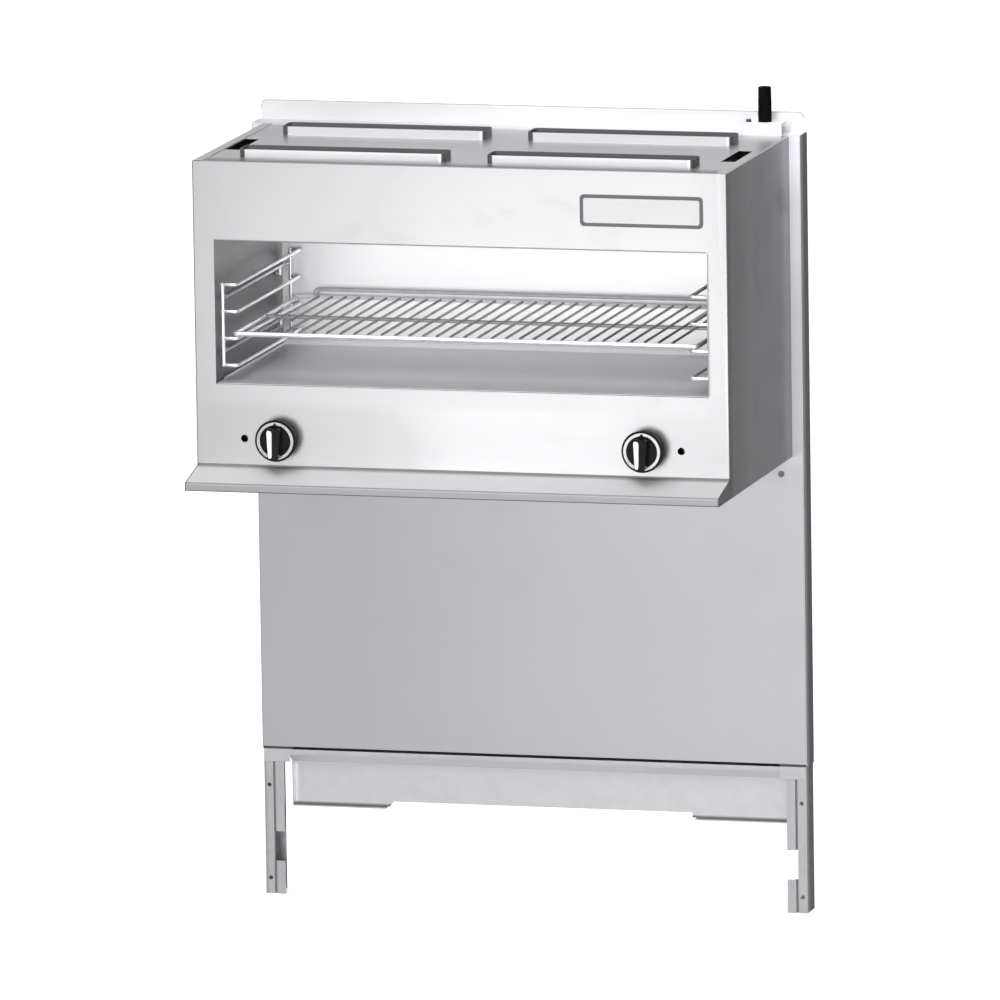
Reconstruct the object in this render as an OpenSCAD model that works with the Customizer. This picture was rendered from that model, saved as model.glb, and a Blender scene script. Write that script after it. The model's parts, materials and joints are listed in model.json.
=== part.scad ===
// Gas infrared cheese melter on a rear riser that bolts to the back of a range.
// Millimetres, +Z up, +Y towards the wall, -Y towards the cook.
// The origin is the centre of the four bolt holes in the riser's legs, on the legs' front face.

/* [Body] */
// Outer width of the body
body_w = 864; // [850:1:880]
// Depth of the body from its front panel to the riser
body_d = 405; // [400:1:420]
// Height of the body's top above the centre of the leg bolt pattern
body_top = 1150; // [1120:5:1200]
// Height of the body's side panels
body_h = 514.2; // [512:0.2:520]
// Thickness of the body's sheet metal
sheet = 1.5; // [1.2:0.1:1.6]

/* [Front panel and window] */
// Height of the front panel
front_h = 481.5; // [480:0.5:482]
// Width of the window
win_w = 798; // [790:1:798]
// Depth of the window's top edge below the body's top
win_top = 127.1; // [125:0.1:135]
// Depth of the window's sill below the body's top
win_sill = 355; // [355:0.5:360]
// Distance of each knob from the centre line
knob_x = 297; // [290:1:300]
// Depth of the knobs' centres below the body's top
knob_drop = 439; // [435:1:440]
// Distance of each pilot hole from the centre line
pilot_x = 354; // [350:1:358]
// Diameter of the pilot holes
pilot_d = 12; // [10:0.5:14]

/* [Heat deflector] */
// How far the deflector stands in front of the front panel
lip_reach = 73.7; // [70:0.1:76]
// Depth of the deflector's crest below the body's top
lip_crest = 501.2; // [499:0.2:503]
// Depth of the deflector's root below the body's top
lip_root = 484.6; // [484:0.2:486]

/* [Flue collars] */
// Length of each flue collar
collar_l = 334; // [320:1:336]
// Depth of each flue collar, front to back
collar_w = 50; // [44:1:52]
// Height of the collars above the body's top
collar_h = 12.5; // [8:0.5:16]
// Corner radius of the collars
collar_r = 10; // [6:1:14]

/* [Riser] */
// Width of the riser
riser_w = 900; // [896:1:904]
// Depth of the legs, front to back
riser_d = 46; // [46:0.5:50]
// Height of the riser's front panel
riser_panel_h = 1010.5; // [1000:0.5:1011]
// Depth of the legs' feet below the body's top
leg_h = 1252; // [1245:1:1260]
// Height of the rear upstand above the body's top
upstand_h = 31.2; // [25:0.2:40]
// Spacing of the leg bolts across the range
bolt_span = 880; // [878:1:882]
// Spacing of the leg bolts up the legs
bolt_rise = 152; // [148:1:156]
// Diameter of the leg bolt holes
bolt_d = 7; // [6:0.5:8]
// Thickness of the legs' sheet metal
leg_t = 1.6; // [1.5:0.1:1.6]

/* [Rack and guides] */
// Outer width of the rack
rack_w = 758; // [750:1:760]
// Diameter of the rack's frame wire
rack_wire = 8; // [7:0.5:8]
// Number of the rack's cross wires
rack_n = 31; // [25:1:35]
// Pitch of the rack's cross wires
rack_pitch = 22.4; // [20:0.1:22.5]
// Diameter of the guides' wire
guide_wire = 6; // [5:0.5:6]
// Height between two rack positions
level_pitch = 42.8; // [42:0.1:43]

/* [Knobs and gas] */
// Radius of a knob's skirt
knob_r = 33.2; // [31:0.2:34]
// Depth of a knob's skirt
knob_skirt = 23.5; // [20:0.5:26]
// Diameter of the valve stem
stem_d = 8; // [6:0.5:8]
// Outside diameter of the gas supply pipe
pipe_d = 21.34; // [21.3:0.01:21.4]
// Inside diameter of the gas supply pipe
pipe_bore = 15.8; // [15:0.1:16]
// Diameter over the thread at the pipe's open end
thread_d = 20.9; // [20.5:0.1:21.2]
// Length of that thread
thread_l = 19; // [15:0.5:20]
// Distance of the supply pipe from the centre line
pipe_x = 387.5; // [386:0.5:388]
// Height of the supply pipe's open end above the body's top
pipe_up = 73.5; // [60:0.5:90]

/* [Hidden] */
$fn = 48;

stainless = [0.80, 0.81, 0.83];
galvanised = [0.66, 0.68, 0.70];
brass_c = [0.78, 0.62, 0.30];
black_c = [0.05, 0.05, 0.055];

hw = body_w / 2;          // half the body's width
yb = -sheet;              // the body's back, which is the riser panel's front face
yf = yb - body_d;         // the front panel's front face
T = body_top;
cav = win_w / 2;          // half the cavity's width
floor_z = T - win_sill + 1.7;   // top of the crumb tray
gas_z = T - knob_drop;    // height of the gas line, the valves and the knobs
ceil_z = T - 98;          // top of the cavity
guide_x = cav - 7;        // post of a rack guide
rail_x = cav - 30;        // rail of a rack guide
rail_1 = T - 200;         // top rail of a rack guide
rack_z = rail_1 - 2 * level_pitch + guide_wire / 2 + rack_wire / 2 + 0.3;
man_y = yb - 335;         // manifold
tube_r = 4.75;            // burner gas tube
pil_r = 2.4;              // pilot tube

// ---- helpers ----
module box(x0, x1, y0, y1, z0, z1) { translate([x0, y0, z0]) cube([x1 - x0, y1 - y0, z1 - z0]); }
module both() { children(); mirror([1, 0, 0]) children(); }
// a flat sheet facing the front: 2D x is X, 2D y is Z
module xz(y0, t) { translate([0, y0 + t, 0]) rotate([90, 0, 0]) linear_extrude(t) children(); }
// a flat sheet facing the side: 2D x is Y, 2D y is Z
module yz(x0, t) { translate([x0, 0, 0]) rotate([90, 0, 90]) linear_extrude(t) children(); }
// a rectangle with round corners
function rr(x0, y0, x1, y1, r, n = 6) = [
  for (c = [[x1 - r, y1 - r, 0], [x0 + r, y1 - r, 90], [x0 + r, y0 + r, 180], [x1 - r, y0 + r, 270]])
    for (i = [0:n]) [c[0] + r * cos(c[2] + 90 * i / n), c[1] + r * sin(c[2] + 90 * i / n)]];
module rect(x0, y0, x1, y1) { translate([x0, y0]) square([x1 - x0, y1 - y0]); }
function unit(v) = v / norm(v);
// a straight rod between two points
module rod(a, b, r) {
  d = unit(b - a);
  h = abs(d[2]) > 0.9 ? [1, 0, 0] : [0, 0, 1];
  x = unit(cross(h, d));
  y = cross(d, x);
  multmatrix([[x[0], y[0], d[0], a[0]], [x[1], y[1], d[1], a[1]], [x[2], y[2], d[2], a[2]], [0, 0, 0, 1]])
    cylinder(r = r, h = norm(b - a));
}
// a quarter bend at corner p, arriving along a and leaving along b
module bend(p, a, b, R, r) {
  c = p - R * a + R * b;
  z = cross(a, b);
  multmatrix([[-b[0], a[0], z[0], c[0]], [-b[1], a[1], z[1], c[1]], [-b[2], a[2], z[2], c[2]], [0, 0, 0, 1]])
    rotate_extrude(angle = 90) translate([R, 0]) circle(r);
}
// a wire or tube that runs square from point to point with round bends
module run(p, R, r) {
  n = len(p) - 1;
  for (i = [0:n - 1]) {
    d = unit(p[i + 1] - p[i]);
    rod(p[i] + (i == 0 ? 0 : R) * d, p[i + 1] - (i == n - 1 ? 0 : R) * d, r);
  }
  for (i = [1:1:n - 1]) bend(p[i], unit(p[i] - p[i - 1]), unit(p[i + 1] - p[i]), R, r);
}
module rod_y(x, z, y0, y1, r) { translate([x, y1, z]) rotate([90, 0, 0]) cylinder(r = r, h = y1 - y0); }

// ---- riser ----
module riser_front_panel() color(stainless) difference() {
  union() {
    box(-riser_w / 2, riser_w / 2, -sheet, 0, T - riser_panel_h, T);
    both() box(riser_w / 2 - sheet, riser_w / 2, 0, riser_d - 1.5, T - riser_panel_h - 4, T);
    box(-riser_w / 2 + sheet, riser_w / 2 - sheet, 0, riser_d - 2 * leg_t, T - sheet, T);
  }
  translate([pipe_x, riser_d / 2 - 0.5, T - 10]) cylinder(r = 13, h = 20);
  rod_y(pipe_x, gas_z, -5, 5, 14);
  both() rod_y(413.6, T - 542.6, -5, 5, 2.6);
  both() for (z = [40, 475]) rod_y(340, T - z, -5, 5, 4.4);
}
// leg channel: the web is outside, the front strip is split by a narrow groove below the panel
module post() difference() {
  union() {
    translate([0, 0, T - leg_h]) linear_extrude(leg_h - 1035.5) {
      rect(448 - leg_t, 0, 448, riser_d);
      rect(426, riser_d - leg_t, 448 - leg_t, riser_d);
      rect(434.9, 0, 448 - leg_t, leg_t);
      rect(434.9 - leg_t, 0, 434.9, 7);
      rect(427.9 + leg_t, 7 - leg_t, 434.9 - leg_t, 7);
      rect(427.9, 0, 427.9 + leg_t, 7);
      rect(415.4, 0, 427.9, leg_t);
    }
    translate([0, 0, T - 1035.5]) linear_extrude(1035.5 - sheet) {
      rect(448 - leg_t, 0, 448, riser_d);
      rect(426, riser_d - leg_t, 448 - leg_t, riser_d);
      rect(405, 0, 448 - leg_t, leg_t);
    }
  }
  box(410, 434.9 - leg_t, -5, 20, T - 1198, T - 1150);
  for (z = [-1, 1]) rod_y(bolt_span / 2, z * bolt_rise / 2, -5, 5, bolt_d / 2);
  rod_y(413.6, T - 542.6, -5, 5, 2.6);
}
module riser_right_post() color(galvanised) post();
module riser_left_post() color(galvanised) mirror([1, 0, 0]) post();
module riser_rear_panel() color(stainless)
  xz(riser_d - 2 * leg_t, leg_t)
    polygon(concat(
      [for (i = [0:6]) [446.2 - 9 + 9 * cos(15 * i), T + upstand_h - 9 + 9 * sin(15 * i)]],
      [for (i = [0:6]) [-446.2 + 9 + 9 * cos(90 + 15 * i), T + upstand_h - 9 + 9 * sin(90 + 15 * i)]],
      [[-446.2, T - 1000], [446.2, T - 1000]]));
module riser_cross_member() color(galvanised)
  xz(-sheet, sheet) polygon([[-447.5, T - 1015], [-447.5, T - 1035.5], [-404, T - 1035.5], [-404, T - 1023],
    [404, T - 1023], [404, T - 1035.5], [447.5, T - 1035.5], [447.5, T - 1015]]);
module riser_lower_brace() color(galvanised)
  xz(riser_d - leg_t, leg_t) polygon([[-426, T - 985], [-426, T - 1036], [-410.5, T - 1036], [-410.5, T - 1112],
    [-252, T - 1112], [-246, T - 1103.5], [249, T - 1103.5], [249, T - 1112], [410.5, T - 1112], [410.5, T - 1036],
    [426, T - 1036], [426, T - 985]]);
// folded edges of the cross member and of the brace
module riser_flanges() color(galvanised) {
  // sloped lower half of the cross member, between the legs
  yz(-404, 808) polygon([[-sheet, T - 1023], [0, T - 1023], [0, T - 1023.3], [8, T - 1034.3], [8, T - 1037.5],
    [6.5, T - 1037.5], [6.5, T - 1034.9], [-sheet, T - 1024]]);
  // its top return, level with the lower edge of the front panel
  box(-404, 404, 0, 30, T - 1016.5, T - 1015);
  // ends and lower edges of the brace
  both() box(410.5 - leg_t, 410.5, riser_d - 14, riser_d - leg_t, T - 1112, T - 1036);
  both() box(256, 410.5, riser_d - 14, riser_d, T - 1113.6, T - 1112);
}
module riser_screws() color(galvanised) {
  both() {
    rod_y(413.6, T - 542.6, -sheet - 0.01, 9, 2.4);
    difference() {
      rod_y(413.6, T - 542.6, -sheet - 3, -sheet, 4.8);
      box(408, 419, -sheet - 4, -sheet - 1.8, T - 543.2, T - 542);
      box(413, 414.2, -sheet - 4, -sheet - 1.8, T - 548, T - 537);
    }
  }
  // pipe bracket screw
  translate([363, 14, T + 10]) cylinder(r = 2.4, h = 8.01);
  translate([363, 14, T + 18]) cylinder(r = 4.6, h = 1);
  translate([363, 14, T + 19]) cylinder(r = 4.2, h = 3.6, $fn = 6);
}
module pipe_bracket() color(stainless) difference() {
  union() {
    box(356.6, 418.4, 4, 5.5, T, T + 18);
    box(356.6, 418.4, 5.5, riser_d - 2 * leg_t, T + 16.5, T + 18);
    box(356.6, 418.4, riser_d - 2 * leg_t - 1.5, riser_d - 2 * leg_t, T + 8, T + 16.5);
  }
  translate([pipe_x, riser_d / 2 - 0.5, T]) cylinder(r = pipe_d / 2 + 0.4, h = 30);
  translate([363, 14, T]) cylinder(r = 2.6, h = 30);
}

// ---- gas train ----
py = riser_d / 2 - 0.5;
module gas_supply_pipe() color(black_c) difference() {
  union() {
    translate([pipe_x, py, gas_z + 18]) cylinder(r = pipe_d / 2, h = T + pipe_up - thread_l - gas_z - 18);
    translate([pipe_x, py, T + pipe_up - thread_l - 1]) cylinder(r = thread_d / 2, h = thread_l);
    translate([pipe_x, py, T + pipe_up - 1]) cylinder(r1 = thread_d / 2, r2 = thread_d / 2 - 1, h = 1);
  }
  translate([pipe_x, py, gas_z]) cylinder(r = pipe_bore / 2, h = 800);
}
module gas_elbow() color(black_c) difference() {
  union() {
    bend([pipe_x, py, gas_z], [0, 0, -1], [0, -1, 0], 18, 14);
    translate([pipe_x, py, gas_z + 11]) cylinder(r = 16.5, h = 7);
    rod_y(pipe_x, gas_z, py - 18, py - 11, 16.5);
  }
  bend([pipe_x, py, gas_z], [0, 0, -1], [0, -1, 0], 18, pipe_bore / 2);
}
module gas_nipple() color(black_c) difference() {
  rod_y(pipe_x, gas_z, yb - 80, py - 18, pipe_d / 2);
  rod_y(pipe_x, gas_z, yb - 90, py, pipe_bore / 2);
}
module pressure_regulator() color([0.62, 0.64, 0.66]) difference() {
  union() {
    rod_y(pipe_x, gas_z, yb - 160, yb - 80, 15.5);
    box(pipe_x - 19, pipe_x + 19, yb - 139, yb - 101, gas_z - 17, gas_z + 10);
    translate([pipe_x, yb - 120, gas_z + 9]) cylinder(r = 32, h = 8);
    translate([pipe_x, yb - 120, gas_z + 17]) cylinder(r1 = 30, r2 = 17, h = 8);
    translate([pipe_x, yb - 120, gas_z + 25]) cylinder(r = 9, h = 7, $fn = 6);
  }
  rod_y(pipe_x, gas_z, yb - 165, yb - 75, pipe_bore / 2);
}
module gas_manifold() color(black_c) difference() {
  union() {
    run([[pipe_x, yb - 160, gas_z], [pipe_x, man_y, gas_z], [-370, man_y, gas_z]], 26, pipe_d / 2);
    both() rod_y(knob_x, gas_z, man_y - 17, man_y - 5, 9.5);
    both() rod_y(pilot_x, gas_z, man_y - 15, man_y - 5, 6);
    translate([-378, man_y, gas_z]) rotate([0, 90, 0]) cylinder(r = 14, h = 16, $fn = 8);
  }
  run([[pipe_x, yb - 159, gas_z], [pipe_x, man_y, gas_z], [-360, man_y, gas_z]], 26, pipe_bore / 2);
}
module valve() difference() {
  union() {
    rod_y(knob_x, gas_z, man_y - 46, man_y - 17, 13.5);
    rod_y(knob_x, gas_z, man_y - 58, man_y - 46, 10);
    translate([knob_x, man_y - 26, gas_z]) cylinder(r = 8, h = 20);
    translate([knob_x, man_y - 26, gas_z + 20]) cylinder(r = 8.6, h = 8, $fn = 6);
  }
  rod_y(knob_x, gas_z, man_y - 60, man_y - 38, stem_d / 2 + 0.06);
}
module right_gas_valve() color(brass_c) valve();
module left_gas_valve() color(brass_c) mirror([1, 0, 0]) valve();
module pilot_valves() color(brass_c) both() difference() {
  union() {
    rod_y(pilot_x, gas_z - 1.5, man_y - 40, man_y - 15, 6.5);
    translate([pilot_x, man_y - 35, gas_z]) cylinder(r = 4.5, h = 12, $fn = 6);
  }
  box(pilot_x - 0.6, pilot_x + 0.6, man_y - 42, man_y - 38.6, gas_z - 10, gas_z + 6);
}
// burner gas tube: up from the valve, out to the wall gap, back and up to the orifice
module gas_tube() difference() {
  run([[knob_x, man_y - 26, gas_z + 28], [knob_x, man_y - 26, T - 400], [415, man_y - 26, T - 400],
    [415, yb - 213, T - 400], [415, yb - 213, T - 34]], 10, tube_r);
  run([[knob_x, man_y - 26, gas_z + 28], [knob_x, man_y - 26, T - 400], [415, man_y - 26, T - 400],
    [415, yb - 213, T - 400], [415, yb - 213, T - 34]], 10, tube_r - 0.9);
}
module right_gas_tube() color([0.72, 0.73, 0.75]) gas_tube();
module left_gas_tube() color([0.72, 0.73, 0.75]) mirror([1, 0, 0]) gas_tube();
module pilot_tubes() color([0.72, 0.73, 0.75]) both()
  run([[pilot_x, man_y - 35, gas_z + 12], [pilot_x, man_y - 35, T - 388], [408, man_y - 35, T - 388],
    [408, yb - 250, T - 388], [408, yb - 250, T - 88], [398.5, yb - 250, T - 88]], 6, pil_r);
module orifice_hoods() color(brass_c) both() difference() {
  union() {
    box(408, 422, yb - 220, yb - 206, T - 34, T - 20);
    translate([398, yb - 213, T - 27]) rotate([0, 90, 0]) cylinder(r = 6, h = 10, $fn = 6);
  }
  translate([397, yb - 213, T - 27]) rotate([0, 90, 0]) cylinder(r = 1.2, h = 14);
}
module mixer() difference() {
  union() {
    translate([203, yb - 213, T - 27]) rotate([0, 90, 0]) cylinder(r = 15, h = 177);
    translate([372, yb - 213, T - 27]) rotate([0, 90, 0]) cylinder(r1 = 15, r2 = 19, h = 20);
    translate([218, yb - 213, T - 46.5]) cylinder(r = 15.5, h = 22);
    box(194, 242, yb - 238, yb - 188, T - 46.5, T - 45);
  }
  translate([204.5, yb - 213, T - 27]) rotate([0, 90, 0]) cylinder(r = 13.5, h = 168);
  translate([372, yb - 213, T - 27]) rotate([0, 90, 0]) cylinder(r1 = 13.5, r2 = 17.6, h = 20.1);
  translate([218, yb - 213, T - 50]) cylinder(r = 13, h = 22);
}
module right_mixer_tube() color(galvanised) mixer();
module left_mixer_tube() color(galvanised) mirror([1, 0, 0]) mixer();

// ---- burners ----
module plenum() difference() {
  box(22, 384, yb - 310, yb - 116, T - 96.5, T - 46.5);
  box(23.5, 382.5, yb - 308.5, yb - 117.5, T - 100, T - 48);
  translate([218, yb - 213, T - 52]) cylinder(r = 13.5, h = 10);
}
module right_burner_plenum() color(galvanised) plenum();
module left_burner_plenum() color(galvanised) mirror([1, 0, 0]) plenum();
// six ceramic tiles in three columns of two
module tiles() for (i = [0:2], j = [0:1])
  box(28.5 + i * 117, 28.5 + i * 117 + 115, yb - 303 + j * 91, yb - 303 + j * 91 + 89, T - 96.4, T - 84);
module right_burner_tiles() color([0.90, 0.87, 0.80]) tiles();
module left_burner_tiles() color([0.90, 0.87, 0.80]) mirror([1, 0, 0]) tiles();
// heat-holding screen under the tiles: a square mesh in a rim
module screen() {
  nx = 21; ny = 11; p = 16; g = 14; x0 = 35.5; y0 = yb - 300;
  translate([0, 0, T - 104]) linear_extrude(1.6) difference() {
    rect(24, yb - 308, 382, yb - 118);
    for (i = [0:nx - 1], j = [0:ny - 1]) rect(x0 + i * p, y0 + j * p, x0 + i * p + g, y0 + j * p + g);
  }
  translate([0, 0, T - 102.4]) linear_extrude(4.4) difference() {
    rect(24, yb - 308, 382, yb - 118);
    rect(27, yb - 305, 379, yb - 121);
  }
}
module right_burner_screen() color([0.45, 0.42, 0.40]) screen();
module left_burner_screen() color([0.45, 0.42, 0.40]) mirror([1, 0, 0]) screen();
module pilot_burners() color(brass_c) both() {
  translate([390.5, yb - 250, T - 112]) cylinder(r = 4.6, h = 32);
  box(390.5, 398.5, yb - 254, yb - 246, T - 92, T - 84);
  box(383.5, 390.5, yb - 254, yb - 246, T - 112, T - 107);
}

// ---- body ----
module side() {
  yz(hw - sheet, sheet) polygon([[yf, T], [yf, T - lip_root], [yf - lip_reach, T - lip_crest], [yf - lip_reach, T - body_h],
    [yb, T - body_h], [yb, T]]);
  box(hw - 16, hw - sheet, yf, yb, T - sheet, T);
  box(hw - 14, hw - sheet, yf + sheet, yf + 2 * sheet, T - 460, T - sheet);
}
module body_right_side() color(stainless) side();
module body_left_side() color(stainless) mirror([1, 0, 0]) side();
module body_front_panel() color(stainless) {
  difference() {
    xz(yf, sheet) difference() {
      rect(-hw + sheet, T - front_h, hw - sheet, T - sheet);
      rect(-cav, T - win_sill, cav, T - win_top);
    }
    both() rod_y(knob_x, gas_z, yf - 5, yf + 5, 5.5);
    both() rod_y(pilot_x, gas_z - 1.5, yf - 5, yf + 5, pilot_d / 2);
  }
  // top return that laps the top panel
  box(-hw + 16.05, hw - 16.05, yf, yf + 40, T - sheet, T);
}
collar_x = 34;
collars_y = [yb - 362, yb - 113];
module collar_2d(m) for (y = collars_y, s = [-1, 1])
  polygon(rr(min(s * collar_x, s * (collar_x + collar_l)) + m, y + m,
    max(s * collar_x, s * (collar_x + collar_l)) - m, y + collar_w - m, collar_r - m));
module body_top_panel() color(stainless) {
  translate([0, 0, T - 2 * sheet]) linear_extrude(sheet) difference() {
    rect(-hw + sheet, yf + 2 * sheet, hw - sheet, yb);
    collar_2d(sheet);
    both() polygon([[391, yb - 278], [412, yb - 278], [415, yb - 274], [415, yb - 162], [412, yb - 158], [391, yb - 158]]);
  }
  translate([0, 0, T - sheet]) linear_extrude(collar_h + sheet) difference() {
    collar_2d(0);
    collar_2d(sheet);
  }
}
module body_rear_panel() color(galvanised) difference() {
  union() {
    box(-hw + sheet, hw - sheet, yb - sheet, yb, T - body_h, T - 2 * sheet);
    both() box(hw - 2 * sheet, hw - sheet, yb - 14, yb - sheet, T - body_h + sheet, T - 2 * sheet);
  }
  rod_y(pipe_x, gas_z, yb - 5, yb + 5, 14);
  both() for (z = [40, 475]) rod_y(340, T - z, yb - 5, yb + 5, 4.4);
}
module body_bottom_panel() color(stainless)
  translate([0, 0, T - body_h]) linear_extrude(sheet) difference() {
    rect(-hw + sheet, yf - lip_reach + 12, hw - sheet, yb - sheet);
    for (i = [-4:4], j = [0:3]) rect(i * 86 - 32, yb - 330 + j * 70, i * 86 + 32, yb - 322 + j * 70);
  }
module heat_deflector() color(stainless)
  yz(-hw + sheet, 2 * (hw - sheet)) polygon([
    [yf + sheet, T - 464], [yf + sheet, T - lip_root + 0.3], [yf - lip_reach, T - lip_crest], [yf - lip_reach, T - body_h],
    [yf - lip_reach + 12, T - body_h], [yf - lip_reach + 12, T - body_h + sheet], [yf - lip_reach + sheet, T - body_h + sheet],
    [yf - lip_reach + sheet, T - lip_crest - 1.2], [yf + 2 * sheet, T - lip_root - 1.2], [yf + 2 * sheet, T - 464]]);
// blank plate with a raised border
module name_plate() color([0.86, 0.87, 0.88]) {
  xz(yf - 1, 1) polygon(rr(196, T - 88.6, 394, T - 38.4, 7));
  xz(yf - 2, 1.01) difference() {
    polygon(rr(196, T - 88.6, 394, T - 38.4, 7));
    polygon(rr(201.5, T - 83.1, 388.5, T - 43.9, 4));
  }
}

// ---- cavity ----
module liner() {
  box(cav, cav + sheet, yf + sheet, yb - 13, T - 356.4, ceil_z);
  box(cav + sheet, cav + 18, yf + sheet, yf + 2 * sheet, T - 356.4, ceil_z);
}
module right_liner() color(stainless) liner();
module left_liner() color(stainless) mirror([1, 0, 0]) liner();
module rear_liner() color(stainless) box(-cav - sheet, cav + sheet, yb - 13, yb - 11.5, T - 356.4, ceil_z);
module floor_liner() color(galvanised) {
  box(-cav, cav, yf + sheet, yb - 13, floor_z - 3.1, floor_z - 1.6);
  box(-cav, cav, yf + sheet, yf + 2 * sheet, T - 375, floor_z - 3.1);
}
module burner_ceiling() color(stainless) difference() {
  box(-cav - 3, cav + 3, yf + sheet, yb - 11.5, ceil_z, ceil_z + sheet);
  both() {
    box(30, 376, yb - 302, yb - 124, ceil_z - 5, ceil_z + 5);
    for (y = collars_y) box(37, 365, y + 3, y + collar_w - 3, ceil_z - 5, ceil_z + 5);
    translate([390.5, yb - 250, ceil_z - 5]) cylinder(r = 5, h = 10);
  }
}
// a square chute under each flue collar
module flue_ducts() color(galvanised) both() for (y = collars_y) difference() {
  box(35.5, 366.5, y + 1.5, y + collar_w - 1.5, ceil_z + sheet, T - 2 * sheet);
  box(36.7, 365.3, y + 2.7, y + collar_w - 2.7, ceil_z, T);
}
// wire guide for one side: a front and a rear post, four rails bent out to them, and two wires along the wall
module rack_guide(gx, rx) {
  yq = yb - 384; yr = yb - 19; px = 384; r = guide_wire / 2; rail_4 = rail_1 - 3 * level_pitch;
  for (k = [0:3]) run([[gx + 3.15, yq, rail_1 - k * level_pitch], [rx, yq, rail_1 - k * level_pitch],
    [rx, yr, rail_1 - k * level_pitch], [px, yr, rail_1 - k * level_pitch]], 6.5, r);
  rod([gx, yq, rail_4 - 2.5], [gx, yq, rail_1 + 2.5], r - 0.2);
  rod([px, yr, rail_4 - 3.5], [px, yr, rail_1 + 3.5], r - 0.2);
  for (z = [rail_1 - 22.5, rail_1 - 2 * level_pitch - 21.5]) {
    run([[gx, yq, z], [gx, yr, z], [px, yr, z]], 5, 2.2);
    // front stub and rear hanger in the wall
    rod([gx, yq + 34, z], [cav, yq + 34, z], 1.8);
    rod([gx, yr - 34, z - 14], [gx, yr - 34, z], 2.8);
    rod([gx, yr - 34, z - 11], [cav, yr - 34, z - 11], 2.4);
  }
}
module right_rack_guide() color([0.90, 0.91, 0.93]) rack_guide(cav - 3.4, cav - 33.6);
module left_rack_guide() color([0.90, 0.91, 0.93]) mirror([1, 0, 0]) rack_guide(guide_x, rail_x);
module wool() difference() {
  box(cav + 2, hw - 2, yf + 7, yb - 15, T - 356, ceil_z);
  box(cav + 8, hw + 5, yb - 221, yb - 205, T - 400, T);
  box(cav + 5, hw - 18, yb - 254, yb - 246, T - 400, T);
}
module right_insulation() color([0.80, 0.76, 0.62]) wool();
module left_insulation() color([0.80, 0.76, 0.62]) mirror([1, 0, 0]) wool();
module rear_insulation() color([0.80, 0.76, 0.62]) box(-cav, cav, yb - 11.3, yb - 1.7, T - 356, ceil_z);
module floor_insulation() color([0.80, 0.76, 0.62]) box(-cav + 1, cav - 1, yf + 5, yb - 14, T - 376, T - 356.6);
module body_mount_bolts() color(galvanised) both() for (z = [40, 475]) {
  rod_y(340, T - z, yb - 2, 12, 4);
  rod_y(340, T - z, yb - sheet - 1.2, yb - sheet, 8);
  translate([340, yb - sheet - 1.2, T - z]) rotate([90, 0, 0]) cylinder(r = 7.5, h = 5.3, $fn = 6);
  translate([340, 6.5, T - z]) rotate([90, 0, 0]) cylinder(r = 7.5, h = 6.5, $fn = 6);
}

// ---- moving pieces ----
module crumb_tray() color(stainless) {
  box(-cav + 1.5, cav - 1.5, yf + sheet, yb - 16, floor_z - 1.2, floor_z);
  both() box(cav - 2.7, cav - 1.5, yf + 40, yb - 16, floor_z, floor_z + 3);
  box(-cav + 2.7, cav - 2.7, yb - 17.2, yb - 16, floor_z, floor_z + 8);
}
module rack() color([0.92, 0.93, 0.95]) {
  r = rack_wire / 2; hx = rack_w / 2 - r; y0 = yb - 382; y1 = yb - 24;
  // front bar and sides in one bent wire, and the rear bar welded on the sides' ends
  for (s = [-1, 1]) {
    rod([s * hx, y0 + 7, rack_z], [s * hx, y1, rack_z], r);
    bend([s * hx, y0, rack_z], [s, 0, 0], [0, 1, 0], 7, r);
  }
  rod([-hx + 7, y0, rack_z], [hx - 7, y0, rack_z], r);
  rod([-hx - 2, y1, rack_z + 4.3], [hx + 2, y1, rack_z + 4.3], 3.4);
  // middle bearer
  rod([-hx, yb - 203, rack_z], [hx, yb - 203, rack_z], 3);
  // cross wires laid on the frame
  for (i = [0:rack_n - 1]) {
    x = (i - (rack_n - 1) / 2) * rack_pitch;
    rod([x, y0 - 2, rack_z + r + 0.8], [x, y1 - 2, rack_z + r + 0.8], 2);
  }
}
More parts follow.
